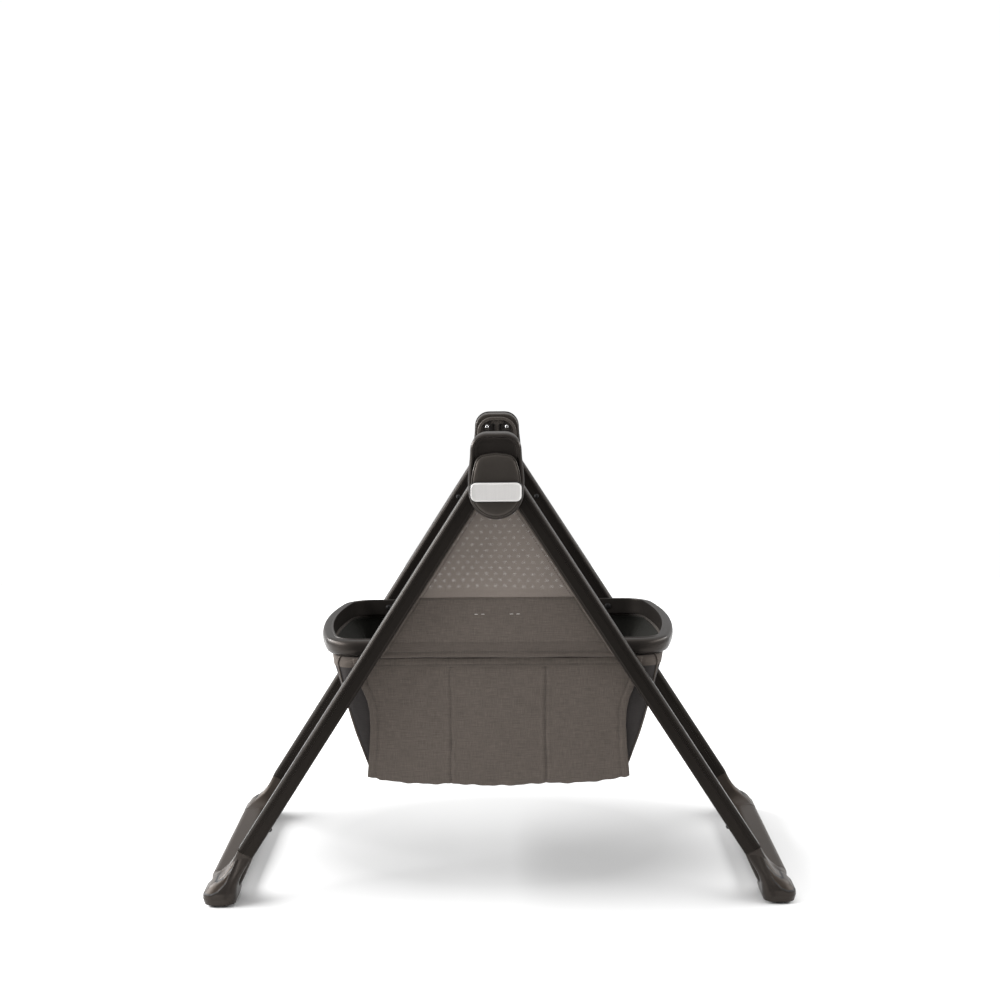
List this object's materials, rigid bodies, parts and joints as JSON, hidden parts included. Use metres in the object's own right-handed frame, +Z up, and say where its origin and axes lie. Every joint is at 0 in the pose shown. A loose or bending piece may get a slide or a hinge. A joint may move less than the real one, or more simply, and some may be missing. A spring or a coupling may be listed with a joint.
{
  "type": "bassinet stand",
  "caption": "Folding A-frame stand for a bassinet, with hub posts that hold the bassinet and a fabric storage basket hung in a hinged ring between the legs.",
  "frame": {"origin": "on the floor, under the middle of the stand", "axes": "+X across the spread of the legs (to the right seen from the near hub), +Y from the near hub to the far hub, +Z up"},
  "size_m": [0.926, 0.555, 0.7355],
  "materials": {
    "tube": "dark brown-black anodised, satin",
    "satin_plastic": "moulded brown-black, fine grain",
    "black_plastic": "moulded black",
    "bright_steel": "bright",
    "black_steel": "black oxide",
    "badge_metal": "satin silver, blank",
    "rubber": "matte",
    "fabric": "taupe linen-look weave",
    "net": "open spacer mesh"
  },
  "bodies": {
    "hubs": {"hub_housing_near": "satin_plastic", "hub_cover_near": "satin_plastic", "badge_near": "badge_metal", "mount_post_near": "satin_plastic", "leg_stop_near": "black_plastic", "mesh_panel_near": "net", "fabric_panel_near": "fabric", "post_screw_near_left": "bright_steel", "leg_pin_near_left": "bright_steel", "post_screw_near_right": "bright_steel", "leg_pin_near_right": "bright_steel", "hub_housing_far": "satin_plastic", "hub_cover_far": "satin_plastic", "badge_far": "badge_metal", "mount_post_far": "satin_plastic", "leg_stop_far": "black_plastic", "mesh_panel_far": "net", "fabric_panel_far": "fabric", "post_screw_far_left": "bright_steel", "leg_pin_far_left": "bright_steel", "post_screw_far_right": "bright_steel", "leg_pin_far_right": "bright_steel", "basket": "fabric", "pocket_panel": "fabric"},
    "left_frame": {"leg_near_left": "tube", "leg_plug_near_left": "black_plastic", "leg_rivet_near_left": "black_steel", "foot_screw_near_left": "black_steel", "foot_near_left": "satin_plastic", "foot_pad_near_left": "rubber", "ring_bolt_near_left": "black_steel", "leg_far_left": "tube", "leg_plug_far_left": "black_plastic", "leg_rivet_far_left": "black_steel", "foot_screw_far_left": "black_steel", "foot_far_left": "satin_plastic", "foot_pad_far_left": "rubber", "ring_bolt_far_left": "black_steel", "floor_bar_left": "tube"},
    "right_frame": {"leg_near_right": "tube", "leg_plug_near_right": "black_plastic", "leg_rivet_near_right": "black_steel", "foot_screw_near_right": "black_steel", "foot_near_right": "satin_plastic", "foot_pad_near_right": "rubber", "ring_bolt_near_right": "black_steel", "leg_far_right": "tube", "leg_plug_far_right": "black_plastic", "leg_rivet_far_right": "black_steel", "foot_screw_far_right": "black_steel", "foot_far_right": "satin_plastic", "foot_pad_far_right": "rubber", "ring_bolt_far_right": "black_steel", "floor_bar_right": "tube"},
    "left_ring": {"ring_pin_near": "black_steel", "ring_pin_far": "black_steel", "ring_left": "satin_plastic"},
    "right_ring": {"ring_right": "satin_plastic"}
  },
  "joints": [
    {"name": "left_fold", "type": "hinge", "parent": "hubs", "child": "left_frame", "pos_m": [-0.023, 0, 0.66], "axis": [0, 1, 0], "range_deg": [-28, 0], "deforming": ["mesh_panel_near", "mesh_panel_far", "fabric_panel_near", "fabric_panel_far", "basket", "pocket_panel"]},
    {"name": "right_fold", "type": "hinge", "parent": "hubs", "child": "right_frame", "pos_m": [0.023, 0, 0.66], "axis": [0, 1, 0], "range_deg": [0, 28]},
    {"name": "left_ring_fold", "type": "hinge", "parent": "left_frame", "child": "left_ring", "pos_m": [-0.19404, 0, 0.394], "axis": [0, 1, 0], "range_deg": [-47.53, 0]},
    {"name": "right_ring_fold", "type": "hinge", "parent": "right_frame", "child": "right_ring", "pos_m": [0.19404, 0, 0.394], "axis": [0, 1, 0], "range_deg": [0, 47.53]}
  ],
  "couplings": [
    {"joint": "right_fold", "follows": "left_fold", "ratio": -1},
    {"joint": "left_ring_fold", "follows": "left_fold", "ratio": 1.6904},
    {"joint": "right_ring_fold", "follows": "left_fold", "ratio": -1.6904}
  ]
}
